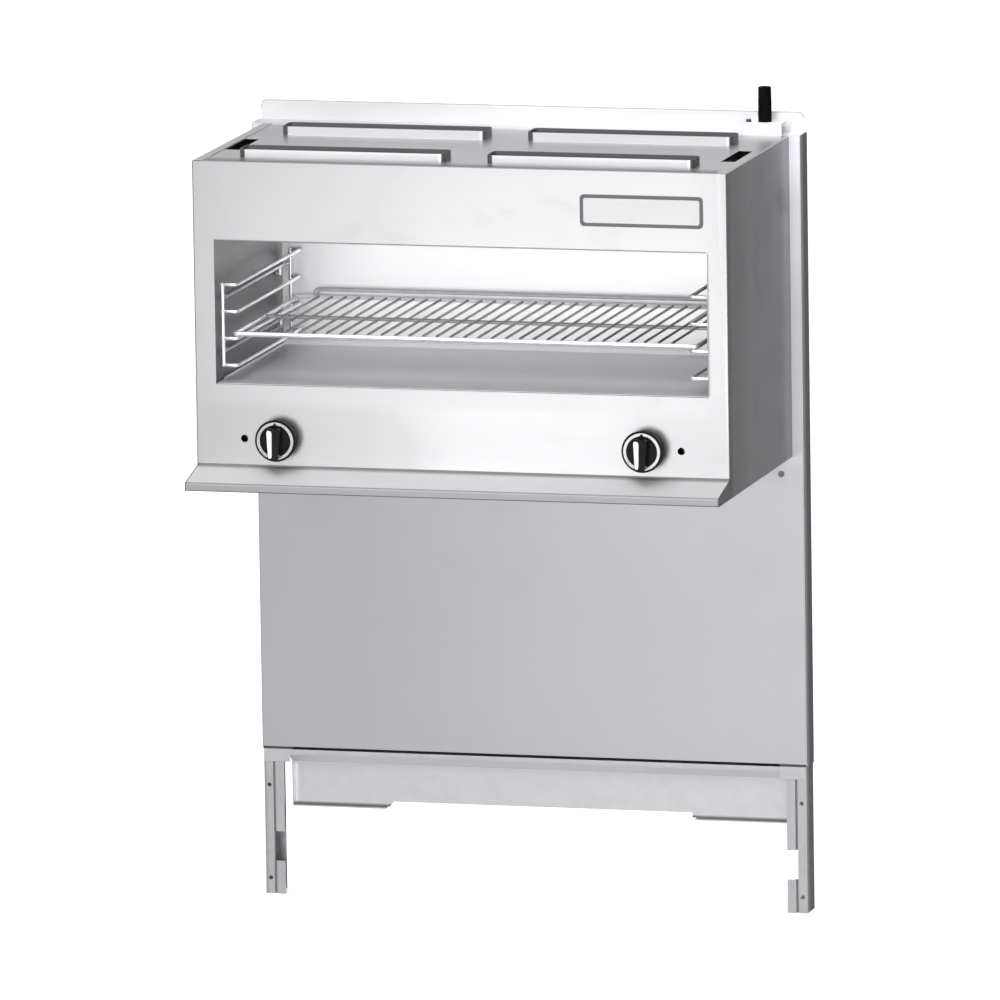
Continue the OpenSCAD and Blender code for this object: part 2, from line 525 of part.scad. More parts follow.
// stop bar with its ends bent down to the rack's rear bar
module rack_stop_bar() color([0.92, 0.93, 0.95])
  run([[-342, yb - 25, rack_z + 5], [-342, yb - 25, rack_z + 16.2], [342, yb - 25, rack_z + 16.2], [342, yb - 25, rack_z + 5]], 6, 3);
ky = yf - 1;   // back of the knob
kf = ky - knob_skirt;   // face of the knob's skirt
module knob() difference() {
  union() {
    // skirt, wider to the front
    translate([knob_x, ky, gas_z]) rotate([90, 0, 0]) cylinder(r1 = knob_r - 2.6, r2 = knob_r, h = knob_skirt);
    rod_y(knob_x, gas_z, kf - 3.6, kf, 24.2);
    // grip: a wedge with a ridge, wide at its top end and narrow at its foot, which passes over the ring
    intersection() {
      translate([knob_x, kf, gas_z - 30]) linear_extrude(54) polygon([[-13.5, 2], [-13.5, -8], [-12.2, -13.6],
        [-10.6, -15.4], [-1.6, -19.8], [0, -20.3], [1.6, -19.8], [10.6, -15.4], [12.2, -13.6], [13.5, -8], [13.5, 2]]);
      difference() {
        xz(kf - 22, 26) polygon([for (c = [[7.0, 16.8, -6], [-7.0, 16.8, 96], [-3.6, -23.2, 186], [3.6, -23.2, 270]])
          for (k = [0:7]) [knob_x + c[0] + 5 * cos(c[2] + (c[1] > 0 ? 90 : 84) * k / 7), gas_z + c[1] + 5 * sin(c[2] + (c[1] > 0 ? 90 : 84) * k / 7)]]);
        box(knob_x - 20, knob_x + 20, kf - 3, kf + 6, gas_z - 40, gas_z - 22.4);
      }
    }
    // pointer
    xz(kf - 2.6, 4) polygon([[knob_x - 2.4, gas_z + 22], [knob_x + 2.4, gas_z + 22], [knob_x + 1.9, gas_z + 25], [knob_x, gas_z + 27.4], [knob_x - 1.9, gas_z + 25]]);
  }
  rod_y(knob_x, gas_z, ky - 14, ky + 5, stem_d / 2);
  difference() {
    rod_y(knob_x, gas_z, ky - 15, ky + 5, knob_r - 6.5);
    rod_y(knob_x, gas_z, ky - 16, ky + 6, 8);
  }
}
module knob_ring() difference() {
  rod_y(knob_x, gas_z, kf - 2.5, kf, knob_r - 3.4);
  rod_y(knob_x, gas_z, kf - 3, kf + 1, 24.9);
  xz(kf - 5, 8) polygon([[knob_x - 3.2, gas_z + 22], [knob_x + 3.2, gas_z + 22], [knob_x + 2.7, gas_z + 25.6], [knob_x, gas_z + 28.6], [knob_x - 2.7, gas_z + 25.6]]);
}
module stem() difference() {
  rod_y(knob_x, gas_z, ky - 13.9, man_y - 39, stem_d / 2);
  box(knob_x - 6, knob_x + 6, ky - 15, ky - 1, gas_z + 2.4, gas_z + 6);
}
module right_knob() color(black_c) knob();
module left_knob() color(black_c) translate([-2 * knob_x, 0, 0]) knob();
module right_knob_ring() color([0.93, 0.94, 0.95]) knob_ring();
module left_knob_ring() color([0.93, 0.94, 0.95]) translate([-2 * knob_x, 0, 0]) knob_ring();
module right_valve_stem() color(brass_c) stem();
module left_valve_stem() color(brass_c) translate([-2 * knob_x, 0, 0]) stem();

riser_front_panel();
riser_left_post();
riser_right_post();
riser_rear_panel();
riser_cross_member();
riser_lower_brace();
riser_flanges();
riser_screws();
pipe_bracket();
gas_supply_pipe();
gas_elbow();
gas_nipple();
pressure_regulator();
gas_manifold();
left_gas_valve();
right_gas_valve();
pilot_valves();
left_gas_tube();
right_gas_tube();
pilot_tubes();
orifice_hoods();
left_mixer_tube();
right_mixer_tube();
left_burner_plenum();
right_burner_plenum();
left_burner_tiles();
right_burner_tiles();
left_burner_screen();
right_burner_screen();
pilot_burners();
body_left_side();
body_right_side();
body_front_panel();
body_top_panel();
body_rear_panel();
body_bottom_panel();
heat_deflector();
name_plate();
left_liner();
right_liner();
rear_liner();
floor_liner();
burner_ceiling();
flue_ducts();
left_rack_guide();
right_rack_guide();
left_insulation();
right_insulation();
rear_insulation();
floor_insulation();
body_mount_bolts();
crumb_tray();
rack();
rack_stop_bar();
left_knob();
left_knob_ring();
left_valve_stem();
right_knob();
right_knob_ring();
right_valve_stem();
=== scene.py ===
import json
import math
import random

import bmesh
import bpy
from mathutils import Matrix, Vector

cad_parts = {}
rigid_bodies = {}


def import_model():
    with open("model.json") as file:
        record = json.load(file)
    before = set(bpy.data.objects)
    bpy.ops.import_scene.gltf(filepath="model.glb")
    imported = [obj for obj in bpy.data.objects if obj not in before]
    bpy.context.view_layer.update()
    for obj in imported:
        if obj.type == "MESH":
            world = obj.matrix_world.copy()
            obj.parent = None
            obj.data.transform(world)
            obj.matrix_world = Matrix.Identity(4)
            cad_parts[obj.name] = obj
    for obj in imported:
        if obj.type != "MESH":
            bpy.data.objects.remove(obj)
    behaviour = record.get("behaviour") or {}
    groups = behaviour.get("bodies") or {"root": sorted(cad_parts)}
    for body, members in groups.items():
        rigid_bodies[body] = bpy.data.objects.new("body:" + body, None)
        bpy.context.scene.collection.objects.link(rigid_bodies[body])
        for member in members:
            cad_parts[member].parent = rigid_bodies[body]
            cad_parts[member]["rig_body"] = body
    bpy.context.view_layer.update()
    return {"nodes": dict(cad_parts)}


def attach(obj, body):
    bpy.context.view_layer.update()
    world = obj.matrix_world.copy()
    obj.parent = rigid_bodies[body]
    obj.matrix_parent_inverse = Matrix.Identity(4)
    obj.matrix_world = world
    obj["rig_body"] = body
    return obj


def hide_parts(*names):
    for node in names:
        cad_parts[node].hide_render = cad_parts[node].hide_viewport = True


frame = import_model()
NODES = frame["nodes"]
MM = 0.001
T = 1150.0            # top of the body, mm
YB = -1.5             # back of the body
YF = YB - 405.0       # face of the front panel
GAS = T - 439.0       # height of the knobs
scene = bpy.context.scene
random.seed(7)

# ------------------------------------------------------------------ camera
cam = bpy.data.objects.new("camera", bpy.data.cameras.new("camera"))
scene.collection.objects.link(cam)
cam.data.sensor_width = 36.0
cam.data.lens = 545.374
cam.data.clip_start, cam.data.clip_end = 1.0, 300.0
r, u, b = ((0.96604493, 0.25795916, -0.01463745), (-0.0297898, 0.16747767, 0.98542569),
           (0.25665103, -0.95152945, 0.1694755))
cam.matrix_world = Matrix(((r[0], u[0], b[0], 6.1472), (r[1], u[1], b[1], -22.9743),
                           (r[2], u[2], b[2], 4.6433), (0, 0, 0, 1)))
scene.camera = cam

# ------------------------------------------------------------------ material helpers


class Mat:
    """A Principled material with short calls for the nodes that feed it."""

    def __init__(self, name, **constants):
        self.m = bpy.data.materials.new(name)
        self.m.use_nodes = True
        self.nt = self.m.node_tree
        self.nt.nodes.clear()
        out = self.n("ShaderNodeOutputMaterial")
        self.p = self.n("ShaderNodeBsdfPrincipled")
        self.l(self.p.outputs[0], out.inputs["Surface"])
        self.c = self.n("ShaderNodeTexCoord").outputs["Object"]
        for k, v in constants.items():
            self.p.inputs[k.replace("_", " ")].default_value = v

    def n(self, kind, **props):
        node = self.nt.nodes.new(kind)
        for k, v in props.items():
            setattr(node, k, v)
        return node

    def l(self, a, b):
        self.nt.links.new(a, b)

    def noise(self, stretch, scale=1.0, detail=3.0, rough=0.5, distort=0.0, shift=(0, 0, 0)):
        m = self.n("ShaderNodeMapping")
        m.inputs["Scale"].default_value = stretch
        m.inputs["Location"].default_value = shift
        self.l(self.c, m.inputs["Vector"])
        t = self.n("ShaderNodeTexNoise")
        t.inputs["Scale"].default_value = scale
        t.inputs["Detail"].default_value = detail
        t.inputs["Roughness"].default_value = rough
        t.inputs["Distortion"].default_value = distort
        self.l(m.outputs[0], t.inputs["Vector"])
        return t.outputs["Fac"]

    def voronoi(self, stretch, scale, feature="F1", out="Distance", rand=1.0):
        m = self.n("ShaderNodeMapping")
        m.inputs["Scale"].default_value = stretch
        self.l(self.c, m.inputs["Vector"])
        t = self.n("ShaderNodeTexVoronoi", feature=feature)
        t.inputs["Scale"].default_value = scale
        t.inputs["Randomness"].default_value = rand
        self.l(m.outputs[0], t.inputs["Vector"])
        return t.outputs[out]

    def rng(self, fac, a, b, lo, hi, smooth=True):
        t = self.n("ShaderNodeMapRange", interpolation_type="SMOOTHSTEP" if smooth else "LINEAR")
        for i, v in enumerate((a, b, lo, hi)):
            t.inputs[1 + i].default_value = v
        self.l(fac, t.inputs[0])
        return t.outputs[0]

    def math(self, op, a, b=None, clamp=False):
        t = self.n("ShaderNodeMath", operation=op, use_clamp=clamp)
        for i, v in enumerate((a, b)):
            if v is None:
                continue
            if isinstance(v, (int, float)):
                t.inputs[i].default_value = v
            else:
                self.l(v, t.inputs[i])
        return t.outputs[0]

    def mix(self, fac, a, b, blend="MIX"):
        t = self.n("ShaderNodeMix", data_type="RGBA", blend_type=blend)
        for i, v in ((0, fac), (6, a), (7, b)):
            if isinstance(v, (int, float)):
                t.inputs[i].default_value = v
            elif isinstance(v, tuple):
                t.inputs[i].default_value = (*v, 1.0)
            else:
                self.l(v, t.inputs[i])
        return t.outputs[2]

    def axis(self, i):
        t = self.n("ShaderNodeSeparateXYZ")
        self.l(self.c, t.inputs[0])
        return t.outputs[i]

    def edge(self, radius=0.0012, lo=0.04, hi=0.35):
        """1 at outer and inner edges, 0 on flats."""
        bev = self.n("ShaderNodeBevel", samples=4)
        bev.inputs["Radius"].default_value = radius
        geo = self.n("ShaderNodeNewGeometry")
        dot = self.n("ShaderNodeVectorMath", operation="DOT_PRODUCT")
        self.l(bev.outputs[0], dot.inputs[0])
        self.l(geo.outputs["Normal"], dot.inputs[1])
        return self.rng(self.math("SUBTRACT", 1.0, dot.outputs["Value"]), lo, hi, 0.0, 1.0)

    def bump(self, height, distance, strength=1.0, after=None):
        t = self.n("ShaderNodeBump")
        t.inputs["Distance"].default_value = distance
        t.inputs["Strength"].default_value = strength
        self.l(height, t.inputs["Height"])
        if after is not None:
            self.l(after, t.inputs["Normal"])
        return t.outputs[0]

    def ramp(self, axis, *steps):
        """Product of soft steps along an axis: (from m, to m, value before, value after)."""
        pos, out = self.axis(axis), None
        for a, b2, lo, hi in steps:
            v = self.rng(pos, a, b2, lo, hi)
            out = v if out is None else self.math("MULTIPLY", out, v)
        return out

    def scaled(self, col, k):
        t = self.n("ShaderNodeVectorMath", operation="SCALE")
        self.l(col, t.inputs[0])
        self.l(k, t.inputs["Scale"])
        return t.outputs[0]

    def set(self, **inputs):
        for k, v in inputs.items():
            self.l(v, self.p.inputs[k.replace("_", " ")])
        return self.m


def steel(name, base, rough, grain=0, spread=0.07, shade=0.05, bump=0.00003, aniso=0.4, dull=0.0, metal=1.0, painted_light=None):
    """Brushed stainless sheet. grain is the axis that the brushing runs along, and the last argument multiplies the
    colour by painted light and shade.
    """
    m = Mat(name, Metallic=metal, Anisotropic=aniso)
    s = [1.0, 1.0, 1.0]
    across = [1.0 if i == grain else 0.0 for i in range(3)]
    fine = m.noise([6 if a else 900 for a in across], 1.0, 4.0, 0.62)
    mid = m.noise([1.3 if a else 170 for a in across], 1.0, 3.0, 0.55, shift=(3, 5, 7))
    broad = m.noise([1.0 if a else 14 for a in across], 1.0, 2.0, 0.5, shift=(9, 2, 4))
    blot = m.noise((5, 5, 5), 1.0, 4.0, 0.6, 0.4, shift=(1, 8, 3))
    scr = m.noise([9 if a else 420 for a in across], 1.0, 1.0, 0.3, 1.2, shift=(13, 1, 5))
    scratch = m.rng(scr, 0.735, 0.80, 0.0, 1.0)
    smear = m.rng(m.noise((9, 9, 9), 1.0, 5.0, 0.65, 0.8, shift=(4, 4, 9)), 0.52, 0.75, 0.0, 1.0)
    edge = m.edge()
    streak = m.math("ADD", m.math("MULTIPLY", m.math("SUBTRACT", fine, 0.5), 0.9),
                    m.math("ADD", m.math("MULTIPLY", m.math("SUBTRACT", mid, 0.5), 1.0),
                           m.math("MULTIPLY", m.math("SUBTRACT", broad, 0.5), 0.5)))
    col = m.mix(m.rng(streak, -0.6, 0.6, 0.0, 1.0, False),
                tuple(c * (1 - shade) for c in base), tuple(min(1, c * (1 + shade * 0.8)) for c in base))
    col = m.mix(m.math("MULTIPLY", m.rng(blot, 0.35, 0.75, 0.0, 1.0), 0.35), col,
                tuple(c * (1 - shade * 1.3) for c in base))
    col = m.mix(m.math("MULTIPLY", scratch, 0.25), col, tuple(min(1, c * 1.12) for c in base))
    col = m.mix(m.math("MULTIPLY", edge, 0.45), col, tuple(min(1, c * 1.18) for c in base))
    # the last argument: painted light and shade multiplied into the colour
    if painted_light:
        col = m.scaled(col, painted_light(m))
    ro = m.math("ADD", m.math("MULTIPLY", streak, spread), rough)
    ro = m.math("ADD", ro, m.math("MULTIPLY", smear, 0.05 + dull))
    ro = m.math("SUBTRACT", ro, m.math("MULTIPLY", edge, 0.06), True)
    nrm = m.bump(fine, bump, 0.8)
    nrm = m.bump(mid, bump * 2.2, 0.6, nrm)
    nrm = m.bump(scratch, bump * 0.8, 0.7, nrm)
    g = m.n("ShaderNodeCombineXYZ")
    for i in range(3):
        g.inputs[i].default_value = across[i]
    geo = m.n("ShaderNodeNewGeometry")
    cr = m.n("ShaderNodeVectorMath", operation="CROSS_PRODUCT")
    m.l(geo.outputs["Normal"], cr.inputs[0])
    m.l(g.outputs[0], cr.inputs[1])
    m.l(cr.outputs[0], m.p.inputs["Tangent"])
    return m.set(Base_Color=col, Roughness=ro, Normal=nrm)


def galvanised(name, base=(0.56, 0.57, 0.59), rough=0.42, spangle=1.0, painted_light=None):
    """Zinc-coated sheet with faint spangle."""
    m = Mat(name, Metallic=1.0)
    cell = m.voronoi((1, 1, 1), 95.0, out="Color")
    sep = m.n("ShaderNodeSeparateColor")
    m.l(cell, sep.inputs[0])
    cloud = m.noise((26, 26, 26), 1.0, 4.0, 0.6, 0.5)
    fine = m.noise((700, 700, 260), 1.0, 2.0, 0.5)
    edge = m.edge(0.001)
    v = m.math("ADD", m.math("MULTIPLY", m.math("SUBTRACT", sep.outputs[0], 0.5), 0.5),
               m.math("ADD", m.math("SUBTRACT", cloud, 0.5), m.math("MULTIPLY", m.math("SUBTRACT", fine, 0.5), 0.5)))
    col = m.mix(m.rng(v, -0.5, 0.5, 0.0, 1.0, False), tuple(c * (1 - 0.10 * spangle) for c in base),
                tuple(min(1, c * (1 + 0.08 * spangle)) for c in base))
    col = m.mix(m.math("MULTIPLY", edge, 0.4), col, tuple(min(1, c * 1.25) for c in base))
    # the last argument: painted light and shade multiplied into the colour
    if painted_light:
        col = m.scaled(col, painted_light(m))
    ro = m.math("ADD", m.math("MULTIPLY", v, 0.14), rough, True)
    return m.set(Base_Color=col, Roughness=ro, Normal=m.bump(m.math("ADD", sep.outputs[0], fine), 0.00003, 0.5))


def zinc(name, level=1.0):
    m = Mat(name, Metallic=1.0)
    a = m.noise((420, 420, 420), 1.0, 3.0, 0.6)
    b2 = m.noise((90, 90, 90), 1.0, 3.0, 0.5, 0.6)
    edge = m.edge(0.0006)
    col = m.mix(m.rng(a, 0.3, 0.7, 0.0, 1.0), (0.48, 0.49, 0.50), (0.66, 0.66, 0.64))
    col = m.mix(m.math("MULTIPLY", m.rng(b2, 0.5, 0.7, 0.0, 1.0), 0.35), col, (0.62, 0.58, 0.48))
    col = m.mix(m.math("MULTIPLY", edge, 0.6), col, (0.82, 0.82, 0.82))
    if level != 1.0:
        col = m.mix(1.0, col, (level, level, level), "MULTIPLY")
    return m.set(Base_Color=col, Roughness=m.rng(a, 0.2, 0.8, 0.26, 0.42), Normal=m.bump(a, 0.00004, 0.5))


def chrome(name, level=1.0, rough=0.0, metal=1.0):
    """Bright plated wire, with faint drawing lines, haze and weld stains."""
    m = Mat(name, Metallic=metal)
    a = m.noise((60, 60, 60), 1.0, 4.0, 0.6, 0.3)
    f = m.noise((900, 900, 900), 1.0, 2.0, 0.5)
    haze = m.rng(m.noise((16, 16, 16), 1.0, 3.0, 0.6, 0.8, shift=(4, 1, 2)), 0.5, 0.72, 0.0, 1.0)
    col = m.mix(m.rng(a, 0.3, 0.7, 0.0, 1.0), tuple(level * c for c in (0.80, 0.81, 0.83)),
                tuple(min(1.0, level * c) for c in (0.94, 0.95, 0.96)))
    col = m.mix(m.math("MULTIPLY", haze, 0.25), col, tuple(level * c for c in (0.77, 0.765, 0.76)))
    ro = m.math("ADD", m.rng(a, 0.3, 0.7, rough + 0.07, rough + 0.14), m.math("MULTIPLY", haze, 0.08))
    return m.set(Base_Color=col, Roughness=ro, Normal=m.bump(f, 0.00002, 0.5))


def iron(name):
    """Black steel pipe with mill scale, rubbed brighter at edges and threads."""
    m = Mat(name, Metallic=0.0)
    m.p.inputs["Specular IOR Level"].default_value = 0.05
    a = m.noise((60, 60, 25), 1.0, 5.0, 0.65, 0.6)
    f = m.noise((650, 650, 650), 1.0, 3.0, 0.6)
    edge = m.edge(0.0008, 0.05, 0.4)
    col = m.mix(m.rng(a, 0.35, 0.7, 0.0, 1.0), (0.002, 0.002, 0.002), (0.005, 0.005, 0.005))
    col = m.mix(m.math("MULTIPLY", m.rng(a, 0.62, 0.78, 0.0, 1.0), 0.4), col, (0.010, 0.008, 0.007))
    col = m.mix(m.math("MULTIPLY", edge, 0.35), col, (0.03, 0.03, 0.032))
    ro = m.math("ADD", m.rng(a, 0.3, 0.75, 0.60, 0.78), m.math("MULTIPLY", m.math("SUBTRACT", f, 0.5), 0.15))
    return m.set(Base_Color=col, Roughness=ro, Normal=m.bump(f, 0.00008, 0.6))


def cast(name):
    m = Mat(name, Metallic=0.9)
    f = m.noise((420, 420, 420), 1.0, 4.0, 0.65)
    a = m.noise((50, 50, 50), 1.0, 3.0, 0.6)
    edge = m.edge(0.001)
    col = m.mix(m.rng(a, 0.3, 0.7, 0.0, 1.0), (0.42, 0.43, 0.44), (0.56, 0.57, 0.58))
    col = m.mix(m.math("MULTIPLY", edge, 0.5), col, (0.72, 0.73, 0.74))
    return m.set(Base_Color=col, Roughness=m.rng(f, 0.25, 0.75, 0.42, 0.62), Normal=m.bump(f, 0.00025, 0.8))


def brass(name):
    m = Mat(name, Metallic=1.0)
    f = m.noise((300, 900, 300), 1.0, 3.0, 0.55)
    a = m.noise((70, 70, 70), 1.0, 4.0, 0.6, 0.5)
    edge = m.edge(0.0007)
    col = m.mix(m.rng(a, 0.3, 0.72, 0.0, 1.0), (0.70, 0.53, 0.24), (0.60, 0.42, 0.19))
    col = m.mix(m.math("MULTIPLY", edge, 0.5), col, (0.86, 0.72, 0.42))
    return m.set(Base_Color=col, Roughness=m.rng(f, 0.25, 0.75, 0.22, 0.4), Normal=m.bump(f, 0.00004, 0.6))


def tube_alu(name):
    m = Mat(name, Metallic=1.0)
    f = m.noise((500, 500, 30), 1.0, 3.0, 0.55)
    a = m.noise((45, 45, 45), 1.0, 3.0, 0.6, 0.5)
    col = m.mix(m.rng(a, 0.3, 0.7, 0.0, 1.0), (0.66, 0.67, 0.69), (0.80, 0.81, 0.82))
    return m.set(Base_Color=col, Roughness=m.rng(f, 0.25, 0.75, 0.28, 0.46), Normal=m.bump(f, 0.00003, 0.5))


def ceramic(name):
    """Cordierite tile with its field of fine burner holes, scorched in use."""
    m = Mat(name, Metallic=0.0)
    m.p.inputs["Specular IOR Level"].default_value = 0.25
    holes = m.voronoi((1, 1, 0.0001), 520.0, rand=0.0)
    hole = m.rng(holes, 0.24, 0.34, 1.0, 0.0)
    f = m.noise((500, 500, 500), 1.0, 4.0, 0.7)
    a = m.noise((22, 22, 22), 1.0, 4.0, 0.6, 0.8)
    col = m.mix(m.rng(a, 0.4, 0.75, 0.0, 1.0), (0.80, 0.76, 0.67), (0.66, 0.56, 0.44))
    col = m.mix(m.math("MULTIPLY", hole, 0.9), col, (0.10, 0.08, 0.07))
    h = m.math("SUBTRACT", m.math("MULTIPLY", f, 0.25), hole)
    return m.set(Base_Color=col, Roughness=m.rng(f, 0.2, 0.8, 0.8, 0.95), Normal=m.bump(h, 0.0007, 0.8))


def screen(name):
    """Heat-resisting wire, oxidised brown and straw by the burner."""
    m = Mat(name, Metallic=1.0)
    a = m.noise((35, 35, 35), 1.0, 4.0, 0.65, 0.6)
    f = m.noise((800, 800, 800), 1.0, 3.0, 0.6)
    col = m.mix(m.rng(a, 0.35, 0.68, 0.0, 1.0), (0.30, 0.27, 0.25), (0.46, 0.37, 0.28))
    return m.set(Base_Color=col, Roughness=m.rng(f, 0.2, 0.8, 0.42, 0.62), Normal=m.bump(f, 0.00008, 0.6))


def wool(name):
    m = Mat(name, Metallic=0.0)
    m.p.inputs["Specular IOR Level"].default_value = 0.1
    a = m.noise((60, 900, 240), 1.0, 6.0, 0.75, 1.5)
    b2 = m.noise((900, 60, 240), 1.0, 6.0, 0.75, 1.5, shift=(3, 3, 3))
    v = m.math("MAXIMUM", a, b2)
    col = m.mix(m.rng(v, 0.4, 0.75, 0.0, 1.0), (0.52, 0.47, 0.34), (0.80, 0.76, 0.62))
    return m.set(Base_Color=col, Roughness=m.rng(v, 0.3, 0.8, 0.9, 1.0), Normal=m.bump(v, 0.002, 0.9))


def bakelite(name, gloss=0.08, tone=1.0):
    """Black moulded plastic with handling haze and rubbed edges."""
    m = Mat(name, Metallic=0.0)
    m.p.inputs["Specular IOR Level"].default_value = gloss
    a = m.noise((70, 70, 70), 1.0, 4.0, 0.6, 0.6)
    f = m.noise((1100, 1100, 1100), 1.0, 3.0, 0.6)
    edge = m.edge(0.0008, 0.05, 0.4)
    col = m.mix(m.rng(a, 0.35, 0.7, 0.0, 1.0), tuple(tone * c for c in (0.003, 0.003, 0.0032)), tuple(tone * c for c in (0.007, 0.007, 0.0075)))
    col = m.mix(m.math("MULTIPLY", edge, 0.20), col, (0.05, 0.05, 0.05))
    ro = m.math("ADD", m.rng(a, 0.35, 0.72, 0.17, 0.34), m.math("MULTIPLY", m.math("SUBTRACT", f, 0.5), 0.06))
    return m.set(Base_Color=col, Roughness=ro, Normal=m.bump(f, 0.00003, 0.5))


# Painted highlight on the front panel: lighter across the control panel between the knobs, and a little lighter on the
# upper panel away from its ends.
def panel_painted_highlight(m):
    below = m.ramp(2, (0.755, 0.775, 1.0, 0.0))
    knobs = m.math("ADD", m.math("MULTIPLY", m.ramp(0, (-0.17, 0.01, 0.0, 1.0), (0.17, 0.36, 1.0, 0.0)), 0.16), 0.985)
    upper = m.math("ADD", m.math("MULTIPLY", m.ramp(0, (-0.43, -0.33, 0.3, 1.0), (0.36, 0.42, 1.0, 0.0)), 0.06), 1.0)
    return m.math("ADD", m.math("MULTIPLY", below, knobs), m.math("MULTIPLY", m.math("SUBTRACT", 1.0, below), upper))


def window_edge_painted_shade(m):
    """Painted shade along the rolled edge of the window's top and right side."""
    top = m.math("MULTIPLY", m.ramp(2, (1.0226, 1.0230, 0.0, 1.0), (1.0240, 1.0258, 1.0, 0.0)), m.ramp(0, (-0.400, -0.398, 0.0, 1.0), (0.397, 0.399, 1.0, 0.0)))
    right = m.math("MULTIPLY", m.ramp(0, (0.3986, 0.3990, 0.0, 1.0), (0.4000, 0.4026, 1.0, 0.0)), m.ramp(2, (0.796, 0.800, 0.0, 1.0), (1.021, 1.023, 1.0, 0.0)))
    return m.math("SUBTRACT", 1.0, m.math("ADD", m.math("MULTIPLY", top, 0.66), m.math("MULTIPLY", right, 0.50)))


def side_painted_shade(m):
    """Painted shade: darker towards the front edge and the riser, most at the riser's upper end, with painted light
    between.
    """
    rear = m.math("MULTIPLY", m.ramp(1, (-0.10, -0.01, 0.0, 1.0)), m.ramp(2, (0.98, 1.13, 0.0, 0.42)))
    return m.math("MULTIPLY", m.ramp(1, (-0.4065, -0.375, 0.32, 0.64), (-0.35, -0.25, 1.0, 1.42), (-0.110, -0.002, 1.0, 0.24)),
                  m.math("SUBTRACT", 1.0, rear))


# Painted light and shade on the riser: lighter towards the top, near the bottom and to the right, darker on its
# right-hand bend.
def riser_painted_light(m):
    high = m.math("MULTIPLY", m.ramp(2, (0.60, 0.67, 1.0, 1.27), (0.86, 1.04, 1.0, 1.22), (1.03, 1.12, 1.0, 1.30)),
                  m.ramp(0, (0.4474, 0.4490, 1.0, 0.60)))
    return m.math("MULTIPLY", high, m.math("MULTIPLY", m.ramp(0, (-0.42, 0.42, 0.95, 1.09)), m.ramp(2, (0.14, 0.50, 1.12, 1.0))))
